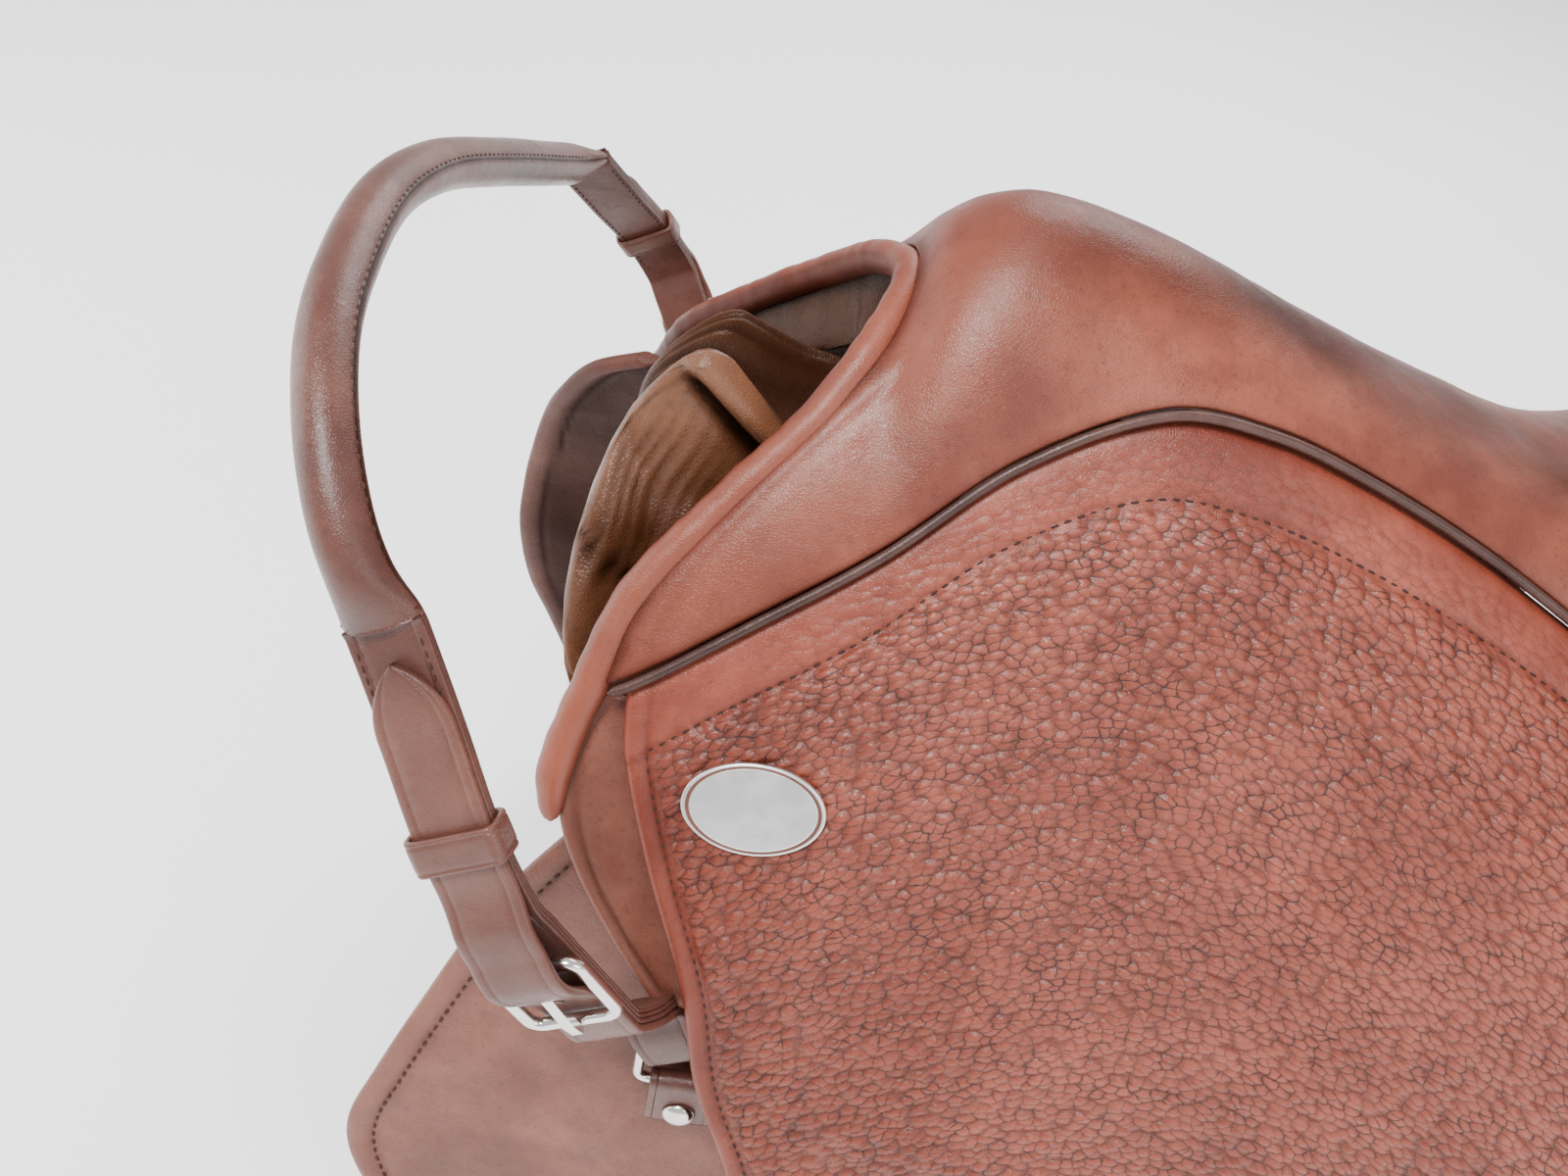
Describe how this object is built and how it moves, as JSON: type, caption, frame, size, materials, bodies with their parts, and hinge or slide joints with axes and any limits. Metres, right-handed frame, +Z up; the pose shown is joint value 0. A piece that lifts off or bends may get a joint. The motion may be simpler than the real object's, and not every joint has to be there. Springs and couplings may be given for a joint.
{
  "type": "horse riding saddle",
  "caption": "English riding saddle in brown leather with pebble-grained flaps, stuffed panels and a rolled grab handle buckled over the pommel.",
  "frame": {"origin": "the middle of the saddle, level with the lowest part of the panels' bearing surface", "axes": "+X from the pommel back to the cantle, -Y to the near (left) side, +Z up"},
  "size_m": [0.632, 0.4412, 0.4698],
  "materials": {
    "seat_hide": "satin, smooth",
    "flap_hide": "satin, deep pebble grain",
    "sweat_hide": "satin, smooth",
    "panel_hide": "soft, creased",
    "strap_hide": "satin, dark",
    "webbing": "woven",
    "foam": "matt foam",
    "beech": "laminated",
    "polished_steel": "polished",
    "forged_steel": "forged",
    "badge_metal": "bright with a thin border line"
  },
  "bodies": {
    "saddle": {"seat_leather": "seat_hide", "pommel_roll": "seat_hide", "cantle_facing": "seat_hide", "seat_foam": "foam", "tree": "beech", "head_plate": "forged_steel", "pommel_lining": "panel_hide", "seat_welt_near": "seat_hide", "point_pocket_near": "seat_hide", "flap_top_near": "flap_hide", "knee_block_near": "flap_hide", "thigh_block_near": "flap_hide", "sweat_flap_near": "sweat_hide", "panel_near": "panel_hide", "strap_web_near": "webbing", "stirrup_bar_near": "forged_steel", "ring_tab_near": "strap_hide", "ring_near": "polished_steel", "ring_stud_near": "polished_steel", "seat_welt_far": "seat_hide", "point_pocket_far": "seat_hide", "flap_top_far": "flap_hide", "knee_block_far": "flap_hide", "thigh_block_far": "flap_hide", "sweat_flap_far": "sweat_hide", "panel_far": "panel_hide", "strap_web_far": "webbing", "stirrup_bar_far": "forged_steel", "ring_tab_far": "strap_hide", "ring_far": "polished_steel", "ring_stud_far": "polished_steel"},
    "flap_near": {"flap_near": "flap_hide", "badge_near": "badge_metal"},
    "stirrup_catch_near": {"stirrup_catch_near": "forged_steel"},
    "buckle_prong_near": {"buckle_prong_near": "polished_steel"},
    "girth_strap_front_near": {"girth_strap_front_near": "strap_hide"},
    "girth_strap_middle_near": {"girth_strap_middle_near": "strap_hide"},
    "girth_strap_rear_near": {"girth_strap_rear_near": "strap_hide"},
    "flap_far": {"flap_far": "flap_hide", "badge_far": "badge_metal"},
    "stirrup_catch_far": {"stirrup_catch_far": "forged_steel"},
    "buckle_prong_far": {"buckle_prong_far": "polished_steel"},
    "girth_strap_front_far": {"girth_strap_front_far": "strap_hide"},
    "girth_strap_middle_far": {"girth_strap_middle_far": "strap_hide"},
    "girth_strap_rear_far": {"girth_strap_rear_far": "strap_hide"},
    "handle": {"handle_grip": "strap_hide", "handle_strap_near": "strap_hide", "handle_keeper_near": "strap_hide", "buckle_frame_near": "polished_steel", "handle_strap_far": "strap_hide", "handle_keeper_far": "strap_hide", "buckle_frame_far": "polished_steel"}
  },
  "joints": [
    {"name": "flap_near_lift", "type": "hinge", "parent": "saddle", "child": "flap_near", "pos_m": [-0.15, -0.11914, 0.064], "axis": [0.9982, -0.0599, 0], "range_deg": [-85, 0]},
    {"name": "flap_far_lift", "type": "hinge", "parent": "saddle", "child": "flap_far", "pos_m": [-0.15, 0.11914, 0.064], "axis": [0.9982, 0.0599, 0], "range_deg": [0, 85]},
    {"name": "handle_swing", "type": "hinge", "parent": "saddle", "child": "handle", "pos_m": [-0.226, 0, -0.074], "axis": [0, 1, 0], "range_deg": [-28, 0]},
    {"name": "buckle_prong_near_lift", "type": "hinge", "parent": "handle", "child": "buckle_prong_near", "pos_m": [-0.28184, -0.18876, 0.02674], "axis": [0.8746, 0, 0.4848], "range_deg": [-8, 0]},
    {"name": "buckle_prong_far_lift", "type": "hinge", "parent": "handle", "child": "buckle_prong_far", "pos_m": [-0.28117, 0.21698, 0.02554], "axis": [-0.8746, 0, -0.4848], "range_deg": [-8, 0]},
    {"name": "stirrup_catch_near_turn", "type": "hinge", "parent": "saddle", "child": "stirrup_catch_near", "pos_m": [-0.10865, -0.0645, 0.117], "axis": [0, 1, 0], "range_deg": [-90, 0]},
    {"name": "stirrup_catch_far_turn", "type": "hinge", "parent": "saddle", "child": "stirrup_catch_far", "pos_m": [-0.10865, 0.0645, 0.117], "axis": [0, 1, 0], "range_deg": [-90, 0]},
    {"name": "girth_strap_front_near_swing", "type": "hinge", "parent": "saddle", "child": "girth_strap_front_near", "pos_m": [-0.074, -0.09, 0.094], "axis": [0, 1, 0], "range_deg": [-4, 4]},
    {"name": "girth_strap_middle_near_swing", "type": "hinge", "parent": "saddle", "child": "girth_strap_middle_near", "pos_m": [-0.03, -0.09, 0.094], "axis": [0, 1, 0], "range_deg": [-4, 4]},
    {"name": "girth_strap_rear_near_swing", "type": "hinge", "parent": "saddle", "child": "girth_strap_rear_near", "pos_m": [0.014, -0.09, 0.094], "axis": [0, 1, 0], "range_deg": [-4, 4]},
    {"name": "girth_strap_front_far_swing", "type": "hinge", "parent": "saddle", "child": "girth_strap_front_far", "pos_m": [-0.074, 0.09, 0.094], "axis": [0, 1, 0], "range_deg": [-4, 4]},
    {"name": "girth_strap_middle_far_swing", "type": "hinge", "parent": "saddle", "child": "girth_strap_middle_far", "pos_m": [-0.03, 0.09, 0.094], "axis": [0, 1, 0], "range_deg": [-4, 4]},
    {"name": "girth_strap_rear_far_swing", "type": "hinge", "parent": "saddle", "child": "girth_strap_rear_far", "pos_m": [0.014, 0.09, 0.094], "axis": [0, 1, 0], "range_deg": [-4, 4]}
  ],
  "couplings": [
    {"joint": "girth_strap_middle_near_swing", "follows": "girth_strap_front_near_swing", "ratio": 1},
    {"joint": "girth_strap_rear_near_swing", "follows": "girth_strap_front_near_swing", "ratio": 1},
    {"joint": "girth_strap_middle_far_swing", "follows": "girth_strap_front_far_swing", "ratio": 1},
    {"joint": "girth_strap_rear_far_swing", "follows": "girth_strap_front_far_swing", "ratio": 1}
  ]
}
